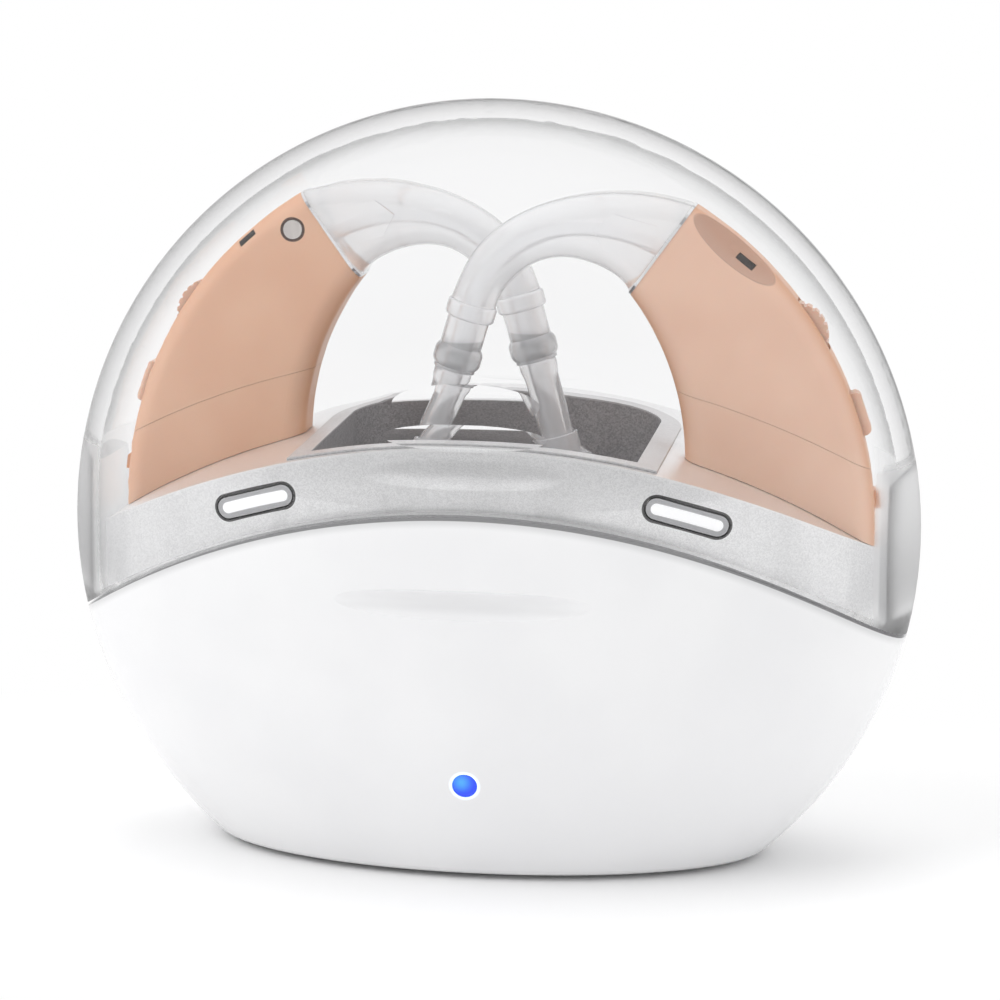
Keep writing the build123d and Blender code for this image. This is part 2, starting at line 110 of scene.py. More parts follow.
def parts(tree, vector):
    """A vector's X, Y and Z by name."""
    return node(tree, "SeparateXYZ", {0: vector}).outputs


def length(tree, vector):
    """A vector's length."""
    return node(tree, "VectorMath", {0: vector}, operation="LENGTH").outputs["Value"]


def squeezed(tree, shares):
    """The point on the piece, with X, Y and Z each taken by its share."""
    return node(tree, "VectorMath", {0: point(tree), 1: shares}, operation="MULTIPLY").outputs[0]


def distance_to(tree, spot, centre):
    """How far a point lies from a centre."""
    return node(tree, "VectorMath", {0: spot, 1: centre}, operation="DISTANCE").outputs["Value"]


def from_line(tree, x, z):
    """How far a point lies from the front-to-back line at x and z."""
    return distance_to(tree, squeezed(tree, (1.0, 0.0, 1.0)), (x, 0.0, z))


def at_front(tree):
    """1 on the front and 0 on the back."""
    return smooth_step(tree, parts(tree, point(tree))["Y"], 0.0, -front_fade)


def new_group(name, inputs, outputs):
    """A node group with named inputs and outputs, and its two end nodes."""
    group = bpy.data.node_groups.new(name, "ShaderNodeTree")
    for label, value in inputs.items():
        socket = group.interface.new_socket(label, in_out="INPUT", socket_type="NodeSocketFloat")
        socket.default_value = value
    for label in outputs:
        group.interface.new_socket(label, in_out="OUTPUT", socket_type="NodeSocketFloat")
    return group, group.nodes.new("NodeGroupInput").outputs, group.nodes.new("NodeGroupOutput").inputs


def moulded_skin():
    """Fine grain, soft cloudiness and handling smudges, as on any moulded piece."""
    group, given, result = new_group(
        "moulded_skin", {"Grain Scale": 4000.0, "Cloud Scale": 60.0}, ("Grain", "Cloud", "Smudge")
    )
    place = point(group)
    grain = noise(group, place, given["Grain Scale"], detail=3.0, roughness=0.6)
    cloud = noise(group, place, given["Cloud Scale"])
    streaks = node(group, "Mapping", {"Vector": place, "Scale": (1.0, 1.0, 0.35)}).outputs[0]
    smudge_scale = math(group, "MULTIPLY", given["Cloud Scale"], 3.0)
    smudge = noise(group, streaks, smudge_scale, detail=4.0, roughness=0.65)
    group.links.new(grain, result["Grain"])
    group.links.new(smooth_step(group, cloud, 0.35, 0.65), result["Cloud"])
    group.links.new(smooth_step(group, smudge, 0.42, 0.68), result["Smudge"])
    return group


skin = moulded_skin()


def use_skin(tree, grain_scale, cloud_scale):
    """The moulded skin's outputs at a grain and a cloud scale."""
    made = node(tree, "Group", node_tree=skin)
    made.inputs["Grain Scale"].default_value = grain_scale
    made.inputs["Cloud Scale"].default_value = cloud_scale
    return made.outputs


def new_material(name, **plain):
    """A Principled material with its uniform numbers on the shader, and its parts by name."""
    material = bpy.data.materials.new(name)
    material.use_nodes = True
    tree = material.node_tree
    shader = tree.nodes["Principled BSDF"]
    for label, value in plain.items():
        shader.inputs[label.replace("_", " ")].default_value = value
    return material, tree, shader.inputs


def bump(tree, height, depth):
    """A normal from a height of 0 to 1 that stands for a real depth in metres."""
    return node(tree, "Bump", {"Height": height, "Distance": depth, "Strength": 1.0}).outputs[0]


def smudged_gloss(tree, made, clean, smudged):
    """A roughness that goes from clean to smudged with the skin's smudges."""
    return smooth_step(tree, made["Smudge"], 0.0, 1.0, clean, smudged)


def moulded(name, colour, shade, clean, smudged, grain=4000.0, depth=0.004 * mm, cloud=60.0, **plain):
    """A moulded piece's finish: two near colours in soft clouds, smudged gloss and fine grain."""
    material, tree, shader = new_material(name, **plain)
    made = use_skin(tree, grain, cloud)
    tree.links.new(blend(tree, made["Cloud"], colour, shade), shader["Base Color"])
    tree.links.new(smudged_gloss(tree, made, clean, smudged), shader["Roughness"])
    tree.links.new(bump(tree, made["Grain"], depth), shader["Normal"])
    return material, tree, shader


def paint(material, *names):
    """Give CAD nodes a finish in place of their plain one."""
    for name in names:
        nodes[name].data.materials.clear()
        nodes[name].data.materials.append(material)


def seam_arch():
    """The arc of the seam between base and lid, seen from the front, from its ends and its top."""
    low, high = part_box("lid")
    half_width = high.x
    middle = high.z - half_width
    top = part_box("base_shell")[1].z
    chord = sqrt(half_width**2 - (middle - low.z) ** 2)
    rise = top - low.z
    radius = (chord**2 + rise**2) / (2 * rise)
    return radius, top - radius


arch_radius, arch_height = seam_arch()


def arch_place():
    """How far a point lies above the seam's arc, and how far along it from the middle."""
    group, given, result = new_group("arch_place", {"Lift": 0.0}, ("Rise", "Along"))
    place = parts(group, point(group))
    height = math(group, "SUBTRACT", place["Z"], arch_height)
    flat = node(group, "CombineXYZ", {"X": place["X"], "Y": height}).outputs[0]
    radius = math(group, "ADD", given["Lift"], arch_radius)
    turn = math(group, "ARCTAN2", place["X"], height)
    group.links.new(math(group, "SUBTRACT", length(group, flat), radius), result["Rise"])
    group.links.new(math(group, "MULTIPLY", turn, radius), result["Along"])
    return group


arch = arch_place()


def on_arch(tree, lift=0.0):
    """A point's rise over the seam's arc, lifted, and its place along it."""
    made = node(tree, "Group", node_tree=arch)
    made.inputs["Lift"].default_value = lift
    return made.outputs


light_low, light_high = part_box("status_light")
light_x = (light_low.x + light_high.x) / 2
light_z = (light_low.z + light_high.z) / 2
light_radius = (light_high.x - light_low.x) / 2

base_white, tree, shader = moulded(
    "white_gloss", white, white_shade, clean=0.17, smudged=0.26, grain=1500.0, depth=0.002 * mm,
    IOR=1.5, Coat_Weight=0.3, Coat_Roughness=0.06, Emission_Strength=0.75,
)
apart = from_line(tree, light_x, light_z)
ring = smooth_step(tree, apart, light_radius, light_radius + halo_width, 1.0, 0.0)
glow = math(tree, "MULTIPLY", ring, at_front(tree))
tree.links.new(blend(tree, glow, (0.0, 0.0, 0.0), halo), shader["Emission Color"])
# Painted shade: a dark grey line along the base's arched top edge, where the gap to the lid lies, and a
# softer painted shade on the rounded lip below it.
seam = on_arch(tree)["Rise"]
seam_shadow_line = smooth_step(tree, seam, -seam_strip - seam_edge, -seam_strip)
soft = smooth_step(tree, seam, -seam_strip - seam_soft, -seam_strip, 0.0, seam_shade)
plastic = shader["Base Color"].links[0].from_socket
shaded = blend(tree, math(tree, "MAXIMUM", seam_shadow_line, soft), plastic, seam_shadow_grey)
tree.links.new(shaded, shader["Base Color"])
paint(base_white, "base_shell")


# Bottom cover, screws and foot pad
# A white matt lid closes the base from below, held by four small plated screws. A thin soft
# rubber pad is glued into its recess, hides the screws and keeps the case from sliding.
cover_white = moulded("white_matt", (0.84, 0.84, 0.85), (0.80, 0.80, 0.81), clean=0.45, smudged=0.6)[0]
screw_steel = moulded(
    "plated_steel", (0.62, 0.62, 0.64), (0.55, 0.55, 0.57), clean=0.28, smudged=0.42, Metallic=1.0
)[0]
rubber = moulded(
    "soft_rubber", (0.055, 0.055, 0.058), (0.045, 0.045, 0.048), clean=0.75, smudged=0.9, grain=6000.0,
    depth=0.01 * mm,
)[0]
pad_corners = 96
pad_rounding = 0.35 * mm
pad_ridges = 3
ridge_spacing = 0.18
ridge_height = 0.12 * mm
ridge_side = 0.48 * mm


def new_piece(name, shape, material, body, stands_for=(), smooth=True):
    """An object from a finished bmesh, riding on its CAD body."""
    mesh = bpy.data.meshes.new(name)
    shape.to_mesh(mesh)
    shape.free()
    mesh.materials.append(material)
    mesh.polygons.foreach_set("use_smooth", [smooth] * len(mesh.polygons))
    piece = bpy.data.objects.new(name, mesh)
    bpy.context.scene.collection.objects.link(piece)
    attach(piece, body)
    if stands_for:
        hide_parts(*stands_for)
    return piece


def underside(shape):
    """The lowest level face, and the largest of those that lie equally low."""
    level = [face for face in shape.faces if abs(face.normal.z) > 0.99]
    return max(level, key=lambda face: (-round(face.calc_center_median().z, 6), face.calc_area()))


def pad_shape():
    """An oval pad with a rounded lower edge and shallow oval ridges on its underside."""
    low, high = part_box("foot_pad")
    wide, deep = (high.x - low.x) / 2, (high.y - low.y) / 2
    shape = bmesh.new()
    bmesh.ops.create_circle(shape, cap_ends=True, radius=1.0, segments=pad_corners)
    bmesh.ops.scale(shape, vec=(wide, deep, 1.0), verts=shape.verts)
    bmesh.ops.translate(shape, vec=(0.0, 0.0, high.z), verts=shape.verts)
    under = bmesh.ops.extrude_face_region(shape, geom=shape.faces[:])["geom"]
    corners = [v for v in under if isinstance(v, bmesh.types.BMVert)]
    bmesh.ops.translate(shape, vec=(0.0, 0.0, low.z - high.z), verts=corners)
    bottom = [face for face in shape.faces if all(abs(v.co.z - low.z) < 1e-7 for v in face.verts)][0]
    bmesh.ops.bevel(
        shape, geom=bottom.edges[:], offset=pad_rounding, segments=4, affect="EDGES", profile=0.5,
        material=-1,
    )
    for _ in range(pad_ridges):
        face = underside(shape)
        bmesh.ops.inset_individual(shape, faces=[face], thickness=deep * ridge_spacing)
        bmesh.ops.inset_individual(shape, faces=[face], thickness=ridge_side, depth=-ridge_height)
        bmesh.ops.inset_individual(shape, faces=[face], thickness=ridge_side, depth=ridge_height)
    bmesh.ops.recalc_face_normals(shape, faces=shape.faces)
    return shape


paint(cover_white, "bottom_cover")
paint(screw_steel, "cover_screws")
new_piece("rubber_foot_pad", pad_shape(), rubber, "case", ("foot_pad",), smooth=False)


# Circuit board, cell and power inlet
# The charging board lies on four posts of the bottom cover. It carries the wrapped cell, the
# lamp behind the status light, and the plated inlet that opens through the back of the base.
board_green = moulded(
    "lacquered_board", (0.02, 0.11, 0.05), (0.03, 0.14, 0.07), clean=0.3, smudged=0.45, grain=2500.0,
    depth=0.01 * mm, cloud=300.0,
)[0]
cell_wrap = moulded(
    "cell_wrap", (0.05, 0.08, 0.20), (0.06, 0.10, 0.24), clean=0.35, smudged=0.5, cloud=150.0
)[0]
inlet_metal = moulded(
    "inlet_metal", (0.72, 0.72, 0.74), (0.66, 0.66, 0.68), clean=0.22, smudged=0.38, Metallic=1.0
)[0]
paint(board_green, "circuit_board")
paint(cell_wrap, "battery_cell")
paint(inlet_metal, "power_inlet")


# Status light
# A short clear blue rod pressed into the front of the base, lit from behind by a small lamp on
# the board. It is brightest above and left of its middle, and the base around it glows faintly.
light_deep = (0.004, 0.035, 0.80)
light_bright = (0.03, 0.22, 1.0)
light_spread = 1.1 * light_radius
bright_left = 0.25 * light_radius
bright_up = 0.3 * light_radius
blue_light, tree, shader = new_material(
    "blue_light", Roughness=0.12, Coat_Weight=0.5, Emission_Strength=0.9
)
made = use_skin(tree, 5000.0, 500.0)
apart = from_line(tree, light_x - bright_left, light_z + bright_up)
lit = blend(tree, smooth_step(tree, apart, 0.0, light_spread), light_bright, light_deep)
tree.links.new(lit, shader["Base Color"])
tree.links.new(lit, shader["Emission Color"])
tree.links.new(bump(tree, made["Grain"], 0.002 * mm), shader["Normal"])
lamp_lens = moulded(
    "lamp_lens", (0.86, 0.88, 0.84), (0.80, 0.83, 0.80), clean=0.4, smudged=0.55, cloud=500.0
)[0]
paint(blue_light, "status_light")
paint(lamp_lens, "status_lamp")


# Deck
# The arched tray that carries the hearing aids: a moulding painted in silver with fine metal
# flake, satin, resting on the base's ledge just inside the lid. It lifts out from above.
silver = (0.97, 0.97, 0.972)
silver_shade = (0.82, 0.82, 0.823)
deck_rise = 6.3 * mm
deck_edge = 0.35 * mm
edge_highlight_strength = 0.55
window_place = 21.5 * mm
window_length = 8.2 * mm
window_height = 2.1 * mm
gap_shade_width = 0.34 * mm
gap_shade_edge = 0.05 * mm
gap_shade_grey = (0.10, 0.098, 0.10)


def metal_flake():
    """Tiny flakes of paint, each with its own brightness and tilt."""
    group, given, result = new_group("metal_flake", {"Flakes": 6000.0}, ("Glint", "Tilt"))
    place = point(group)
    cells = node(group, "TexVoronoi", {"Vector": place, "Scale": given["Flakes"]}, feature="F1")
    tone = node(group, "SeparateColor", {0: cells.outputs["Color"]})
    fine_scale = math(group, "MULTIPLY", given["Flakes"], 0.4)
    fine = noise(group, place, fine_scale, detail=3.0, roughness=0.7)
    glint = math(group, "MULTIPLY_ADD", tone.outputs[0], 0.6, math(group, "MULTIPLY", fine, 0.4))
    group.links.new(glint, result["Glint"])
    group.links.new(tone.outputs[1], result["Tilt"])
    return group


flake = metal_flake()


def flaked(name, colour, shade, clean, smudged, flakes, depth, **plain):
    """Satin paint with metal flake."""
    material, tree, shader = new_material(name, **plain)
    made = node(tree, "Group", node_tree=flake)
    made.inputs["Flakes"].default_value = flakes
    speck = smooth_step(tree, made.outputs["Glint"], 0.15, 0.85)
    tree.links.new(blend(tree, speck, shade, colour), shader["Base Color"])
    cloudy = use_skin(tree, 3000.0, 80.0)
    tree.links.new(smudged_gloss(tree, cloudy, clean, smudged), shader["Roughness"])
    tree.links.new(bump(tree, made.outputs["Tilt"], depth), shader["Normal"])
    return material, tree, shader


def pill_outline():
    """How far a point of the deck's front lies outside the nearer window's pill shape."""
    group, given, result = new_group("pill_outline", {"Place": window_place}, ("Outside",))
    made = on_arch(group, deck_rise / 2)
    along = math(group, "SUBTRACT", math(group, "ABSOLUTE", made["Along"]), given["Place"])
    straight = (window_length - window_height) / 2
    past = math(group, "SUBTRACT", math(group, "ABSOLUTE", along), straight)
    past = math(group, "MAXIMUM", past, 0.0)
    flat = node(group, "CombineXYZ", {"X": past, "Y": made["Rise"]}).outputs[0]
    outside = math(group, "SUBTRACT", length(group, flat), window_height / 2)
    group.links.new(outside, result["Outside"])
    return group


pill = pill_outline()
middle_ring = arch_radius + deck_rise / 2


def outside_pill(tree):
    """How far a point lies outside the nearer window, measured along the deck's arc."""
    made = node(tree, "Group", node_tree=pill)
    made.inputs["Place"].default_value = middle_ring * asin(window_place / middle_ring)
    return made.outputs["Outside"]


deck_silver, tree, shader = flaked(
    "silver_satin", silver, silver_shade, clean=0.32, smudged=0.42, flakes=9000.0, depth=0.008 * mm,
    Metallic=0.8,
)
silver_paint = shader["Base Color"].links[0].from_socket
# Painted highlight: a light band along the top of the deck's front wall, on the front only.
front = at_front(tree)
edge = on_arch(tree, deck_rise)["Rise"]
lit_edge = smooth_step(tree, edge, -deck_edge, -deck_edge / 2, 0.0, edge_highlight_strength)
painted_edge_lighting = blend(tree, math(tree, "MULTIPLY", lit_edge, front), silver_paint, (1.0, 1.0, 1.0))
# Painted shade: a dark ring on the deck's front round each window, in the gap between window and slot.
gap_shade = smooth_step(tree, outside_pill(tree), gap_shade_width, gap_shade_width + gap_shade_edge, 1.0, 0.0)
gap_shaded = blend(tree, math(tree, "MULTIPLY", gap_shade, front), painted_edge_lighting, gap_shade_grey)
tree.links.new(gap_shaded, shader["Base Color"])
paint(deck_silver, "deck")


# Ear-mould tray
# A deep bowl in dark grey grained plastic, dropped into the deck's opening and held by its thin
# rim. The ear tips hang in it.
tray_rim_highlight = (0.85, 0.85, 0.855)
tray_rim_height = 0.12 * mm
tray_rim_highlight_strength = 0.6
tray_grey, tree, shader = flaked(
    "dark_satin", (0.56, 0.55, 0.555), (0.36, 0.35, 0.355), clean=0.42, smudged=0.52, flakes=7000.0,
    depth=0.014 * mm, Metallic=0.45,
)
grained = shader["Base Color"].links[0].from_socket
# Painted highlight: lighter along the top of the rim.
rim = smooth_step(tree, on_arch(tree, deck_rise)["Rise"], 0.0, tray_rim_height, 0.0, tray_rim_highlight_strength)
tree.links.new(blend(tree, rim, grained, tray_rim_highlight), shader["Base Color"])
paint(tray_grey, "ear_mould_tray", "left_aid_socket", "right_aid_socket")


# Indicator windows and lamps
# Two milky pill-shaped windows are pressed into slots in the deck's front, each with a soft
# white light bar close behind it.
window_shaded_edge = 0.42 * mm
window_soft = 0.15 * mm
window_edge_shade = (0.45, 0.45, 0.46)
window_lit = (0.95, 0.955, 0.96)
window_milky, tree, shader = new_material(
    "clear_window", IOR=1.47, Roughness=0.16, Emission_Strength=0.22
)
made = use_skin(tree, 3000.0, 300.0)
# Painted light and shade: each window's middle is painted bright and glows for the light bar behind it,
# and its edge is painted grey as shade.
lit_core = smooth_step(tree, outside_pill(tree), -window_shaded_edge - window_soft, -window_shaded_edge, 1.0, 0.0)
tree.links.new(blend(tree, lit_core, window_edge_shade, window_lit), shader["Base Color"])
tree.links.new(blend(tree, lit_core, (0.0, 0.0, 0.0), (1.0, 1.0, 0.99)), shader["Emission Color"])
tree.links.new(bump(tree, made["Grain"], 0.003 * mm), shader["Normal"])
light_bar = moulded(
    "light_bar", (0.94, 0.95, 0.94), (0.90, 0.91, 0.90), clean=0.4, smudged=0.5, cloud=400.0,
    Emission_Strength=0.6, Emission_Color=(1.0, 1.0, 0.97, 1.0),
)[0]
for side in ("left", "right"):
    paint(window_milky, side + "_indicator_window")
    paint(light_bar, side + "_indicator_lamp")


# Charging contacts
# Two gold-plated pins stand in the floor of each socket and meet the aid's foot.
gold = moulded(
    "contact_gold", (0.83, 0.60, 0.26), (0.75, 0.52, 0.20), clean=0.25, smudged=0.4, Metallic=1.0
)[0]
paint(gold, "left_charging_contacts", "right_charging_contacts")


# Hearing aid shells and battery doors
# Each aid is a curved, rounded case in beige satin plastic; the right one is painted a little
# paler as painted light, for the stronger light on it. The battery door is its lower end, hung on a
# pin, with a small lip for a fingernail on its spine.
# The right aid's paler beige is painted light.
beige = {"left": (0.81, 0.50, 0.345), "right": (0.85, 0.57, 0.43)}
beige_shade = {"left": (0.78, 0.465, 0.315), "right": (0.82, 0.535, 0.40)}
beige_edge_shade = (0.70, 0.365, 0.205)
beige_hollow_shade = (0.46, 0.275, 0.205)
disc_gap_shade = (0.10, 0.055, 0.042)
edge_start = 2.2 * mm
edge_end = 3.5 * mm
edge_shade_strength = 0.85
disc_ring = 1.28 * mm
disc_edge = 0.06 * mm
spine_middle = Vector((-0.8 * mm, 0.0, 34.9 * mm))
scoop_angle = radians(39.5)
scoop_reach = 52.8 * mm
scoop_out = 21.6 * mm
scoop_radius = 22.0 * mm
scoop_inside = 0.03 * mm
scoop_outside = 0.12 * mm
scoop_shade_strength = 0.75


def scoop_ball(side):
    """The centre of the ball that hollows the aid's upper face."""
    way = 1.0 if side == "left" else -1.0
    outward = Vector((-sin(scoop_angle), 0.0, cos(scoop_angle)))
    ball = spine_middle + outward * scoop_reach + Vector((0.0, scoop_out, 0.0))
    return Vector((ball.x * way, ball.y * way, ball.z))


def beige_skin(side):
    """Satin beige with painted shade: warmer and darker where the wall turns into the spine and the
    hollow edge, darker in the scoop and round the side disc.
    """
    material, tree, shader = new_material(
        side + "_beige", Subsurface_Weight=0.12, Subsurface_Scale=1.2 * mm
    )
    shader["Subsurface Radius"].default_value = (1.0, 0.45, 0.25)
    made = use_skin(tree, 3800.0, 120.0)
    spot = point(tree)
    flat = blend(tree, made["Cloud"], beige[side], beige_shade[side])
    low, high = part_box(side + "_aid_shell")
    # Painted shade: the narrow faces of the spine and edges, where the wall turns away, are painted
    # warmer and darker.
    off = math(tree, "ABSOLUTE", math(tree, "SUBTRACT", parts(tree, spot)["Y"], (low.y + high.y) / 2))
    turn = smooth_step(tree, off, edge_start, edge_end, edge_shade_strength, 0.0)
    painted_edge_lighting = blend(tree, turn, flat, beige_edge_shade)
    # Painted shade: darker in the scoop that hollows the aid's upper face.
    from_ball = distance_to(tree, spot, scoop_ball(side))
    scoop = smooth_step(
        tree, from_ball, scoop_radius + scoop_inside, scoop_radius + scoop_outside, scoop_shade_strength, 0.0
    )
    hollow_shaded = blend(tree, scoop, painted_edge_lighting, beige_hollow_shade)
    # Painted shade: a dark ring on the shell round the side disc, in the gap about it.
    disc_low, disc_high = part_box(side + "_side_disc")
    from_disc = distance_to(tree, spot, (disc_low + disc_high) / 2)
    ring = smooth_step(tree, from_disc, disc_ring, disc_ring + disc_edge, 1.0, 0.0)
    tree.links.new(blend(tree, ring, hollow_shaded, disc_gap_shade), shader["Base Color"])
    tree.links.new(smudged_gloss(tree, made, 0.36, 0.46), shader["Roughness"])
    tree.links.new(bump(tree, made["Grain"], 0.006 * mm), shader["Normal"])
    return material


for side in ("left", "right"):
    paint(beige_skin(side), side + "_aid_shell", side + "_battery_door")


# Volume wheels and program buttons
# A knurled wheel on a short axle and a small sprung button stand out of each spine, moulded in
# a slightly lighter and glossier beige than the shell.
key_beige = moulded(
    "beige_key", (0.76, 0.50, 0.37), (0.72, 0.45, 0.32), clean=0.3, smudged=0.42, Subsurface_Weight=0.2,
    Subsurface_Scale=1 * mm,
)[0]
for side in ("left", "right"):
    paint(key_beige, side + "_volume_wheel", side + "_program_button")


# Side discs and microphone inserts
# A small light disc marks one face of each aid, and two dark mesh inserts cover the microphones.
disc_light = moulded(
    "light_disc", (0.62, 0.58, 0.55), (0.56, 0.52, 0.50), clean=0.25, smudged=0.35, cloud=600.0
)[0]
mesh_dark = moulded(
    "dark_mesh", (0.035, 0.025, 0.022), (0.02, 0.015, 0.013), clean=0.5, smudged=0.7, grain=7000.0,
    depth=0.03 * mm,
)[0]
for side in ("left", "right"):
    paint(disc_light, side + "_side_disc")
    paint(mesh_dark, side + "_microphone_inserts")


# Hooks
# A clear horn screws onto each shell and carries the sound over the ear. It ends in a collar, a
# sleeve and a barbed ring that holds the tube.
hook_pale = (0.93, 0.932, 0.935)
hook_rim_shade = (0.36, 0.365, 0.375)
barb_tone = (0.42, 0.425, 0.43)
barb_strength = 0.6
barb_length = 3.4 * mm
barb_edge = 0.3 * mm
lamp_tint = (0.97, 0.97, 0.975, 1.0)


def let_lamps_through(material):
    """Light from lamps and bounced light go straight through the clear plastic."""
    tree = material.node_tree
    shader = tree.nodes["Principled BSDF"]
    path = node(tree, "LightPath").outputs
    soft = math(tree, "MAXIMUM", path["Is Shadow Ray"], path["Is Diffuse Ray"])
    clear = node(tree, "BsdfTransparent", {"Color": lamp_tint})
    mixed = node(tree, "MixShader", {0: soft, 1: shader.outputs[0], 2: clear.outputs[0]})
    tree.links.new(mixed.outputs[0], tree.nodes["Material Output"].inputs["Surface"])


def rim_share(tree, low, high):
    """0 where a wall faces the eye, and 1 where it turns away."""
    facing = node(tree, "LayerWeight", {"Blend": 0.5}).outputs["Facing"]
    return smooth_step(tree, facing, low, high)


def hook_plastic(side):
    """Milky clear plastic, with painted shade darker towards its rims, where the wall turns away, and
    darker in the barbed ring at its end.
    """
    material, tree, shader = new_material(
        side + "_clear_hook", Transmission_Weight=0.62, IOR=1.47, Roughness=0.16, Coat_Weight=0.8,
        Coat_Roughness=0.04,
    )
    made = use_skin(tree, 1800.0, 200.0)
    barb_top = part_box(side + "_hook")[0].z + barb_length
    height = parts(tree, point(tree))["Z"]
    barb = smooth_step(tree, height, barb_top, barb_top + barb_edge, barb_strength, 0.0)
    tone = blend(tree, barb, hook_pale, barb_tone)
    tree.links.new(blend(tree, rim_share(tree, 0.45, 1.0), tone, hook_rim_shade), shader["Base Color"])
    tree.links.new(bump(tree, made["Grain"], 0.003 * mm), shader["Normal"])
    let_lamps_through(material)
    return material


for side in ("left", "right"):
    paint(hook_plastic(side), side + "_hook")


# Hook rings
# A thin plated ring is pressed in between each shell and its hook, and shows as a bright line.
ring_place = (-17.24 * mm, 3.6 * mm, 63.57 * mm)
ring_lean = radians(35.5)
ring_deep = 7.2 * mm
ring_wide = 10.73 * mm
ring_rounding = 2.0 * mm
ring_proud = 0.06 * mm
ring_wall = 0.7 * mm
ring_thickness = 0.28 * mm
ring_plate = moulded(
    "plated_ring", (0.86, 0.86, 0.87), (0.78, 0.78, 0.79), clean=0.2, smudged=0.3, Metallic=1.0
)[0]


def ring_shape(side):
    """A flat rounded frame about the seam between shell and hook."""
    deep, wide = ring_deep + 2 * ring_proud, ring_wide + 2 * ring_proud
    shape = bmesh.new()
    bmesh.ops.create_grid(shape, x_segments=1, y_segments=1, size=0.5)
    bmesh.ops.scale(shape, vec=(deep, wide, 1.0), verts=shape.verts)
    bmesh.ops.bevel(
        shape, geom=shape.verts[:], offset=ring_rounding, segments=8, affect="VERTICES", profile=0.5,
        material=-1,
    )
    bmesh.ops.inset_individual(shape, faces=shape.faces[:], thickness=ring_wall)
    middle = max(shape.faces, key=lambda face: face.calc_area())
    bmesh.ops.delete(shape, geom=[middle], context="FACES_ONLY")
    bmesh.ops.solidify(shape, geom=shape.faces[:], thickness=ring_thickness)
    bmesh.ops.recalc_face_normals(shape, faces=shape.faces)
    lean = Matrix.Rotation(-ring_lean, 4, "Y") @ Matrix.Rotation(pi / 2, 4, "Y")
    shape.transform(Matrix.Translation(ring_place) @ (lean @ Matrix.Rotation(pi / 2, 4, "Z")))
    if side == "right":
        shape.transform(Matrix.Rotation(pi, 4, "Z"))
    return shape


for side in ("left", "right"):
    new_piece(side + "_hook_ring", ring_shape(side), ring_plate, "case", smooth=False)


# Sound tubes
# Soft clear tube, pushed over the hook's barbed end. It swells a little at its top, where it is
# stretched over the barb.
tube_lean = radians(16.0)
tube_radius = 1.75 * mm
tube_bore = 0.9 * mm
tube_swell = 0.2 * mm
tube_swell_length = 0.8 * mm
tube_taper_end = 1.8 * mm
tube_rounding = 0.3 * mm
turns = 48
tube_pale = (0.92, 0.92, 0.922)
tube_rim_shade = (0.34, 0.34, 0.35)
tube_clear, tree, shader = new_material(
    "clear_tube", Transmission_Weight=0.72, IOR=1.25, Roughness=0.14, Coat_Weight=0.5, Coat_Roughness=0.08
)
made = use_skin(tree, 2500.0, 250.0)
# Painted shade: darker towards the rims, where the wall turns away.
tree.links.new(blend(tree, rim_share(tree, 0.45, 1.0), tube_pale, tube_rim_shade), shader["Base Color"])
tree.links.new(bump(tree, made["Grain"], 0.004 * mm), shader["Normal"])
let_lamps_through(tube_clear)


def lathe(profile, placing):
    """A closed profile of (radius, height) turned full round, then put in place."""
    shape = bmesh.new()
    ring = [shape.verts.new((radius, 0.0, height)) for radius, height in profile]
    edges = [shape.edges.new((a, b)) for a, b in zip(ring, ring[1:] + ring[:1])]
    bmesh.ops.spin(
        shape, geom=ring + edges, cent=(0, 0, 0), axis=(0, 0, 1), angle=2 * pi, steps=turns,
        use_merge=True,
    )
    bmesh.ops.remove_doubles(shape, verts=shape.verts, dist=1e-7)
    bmesh.ops.recalc_face_normals(shape, faces=shape.faces)
    shape.transform(placing)
    return shape


def rounded(points, rounding, steps=5):
    """A closed profile with its corners rounded, each by less than half of the sides beside it."""
    result = []
    for index, corner in enumerate(points):
        corner = Vector(corner)
        before = Vector(points[index - 1]) - corner
        after = Vector(points[(index + 1) % len(points)]) - corner
        cut = min(rounding, before.length * 0.45, after.length * 0.45)
        start, end = corner + before.normalized() * cut, corner + after.normalized() * cut
        for step in range(steps + 1):
            share = step / steps
            result.append(start.lerp(corner, share).lerp(corner.lerp(end, share), share))
    return result


def tube_line(side):
    """The tube's top, its direction and its length, from the CAD tube's box and its lean."""
    low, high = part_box(side + "_sound_tube")
    long = (high.z - low.z - 2 * tube_radius * sin(tube_lean)) / cos(tube_lean)
    way = 1.0 if side == "left" else -1.0
    along = Vector((way * sin(tube_lean), 0.0, -cos(tube_lean)))
    return (low + high) / 2 - along * long / 2, along, long


def along_tube(side, drop):
    """A placing with its +Z down the tube, starting a drop below the tube's top."""
    top, along, long = tube_line(side)
    return Matrix.Translation(top + along * drop) @ along.to_track_quat("Z", "Y").to_matrix().to_4x4()


def tube_shape(side):
    """A tube with a swollen top and an even bore."""
    long = tube_line(side)[2]
    swollen = tube_radius + tube_swell
    outside = [
        (swollen, 0.0), (swollen, tube_swell_length), (tube_radius, tube_taper_end),
        (tube_radius, long - tube_taper_end), (tube_radius, long),
    ]
    inside = [(tube_bore, long), (tube_bore, 0.0)]
    return lathe(rounded(outside + inside, tube_rounding), along_tube(side, 0.0))


for side in ("left", "right"):
    new_piece(
        side + "_clear_tube", tube_shape(side), tube_clear, "case", (side + "_sound_tube",)
    )


# Ear tips
# A soft open dome of clear silicone with a short neck, pushed onto the tube's end. It hangs in
# the dark bowl.
tip_neck = 2.2 * mm
tip_wide = 4.0 * mm
tip_overlap = 2.0 * mm
tip_wall = 0.8 * mm
tip_length = 7.2 * mm
tip_rounding = 0.4 * mm
tip_clearance = 0.02 * mm


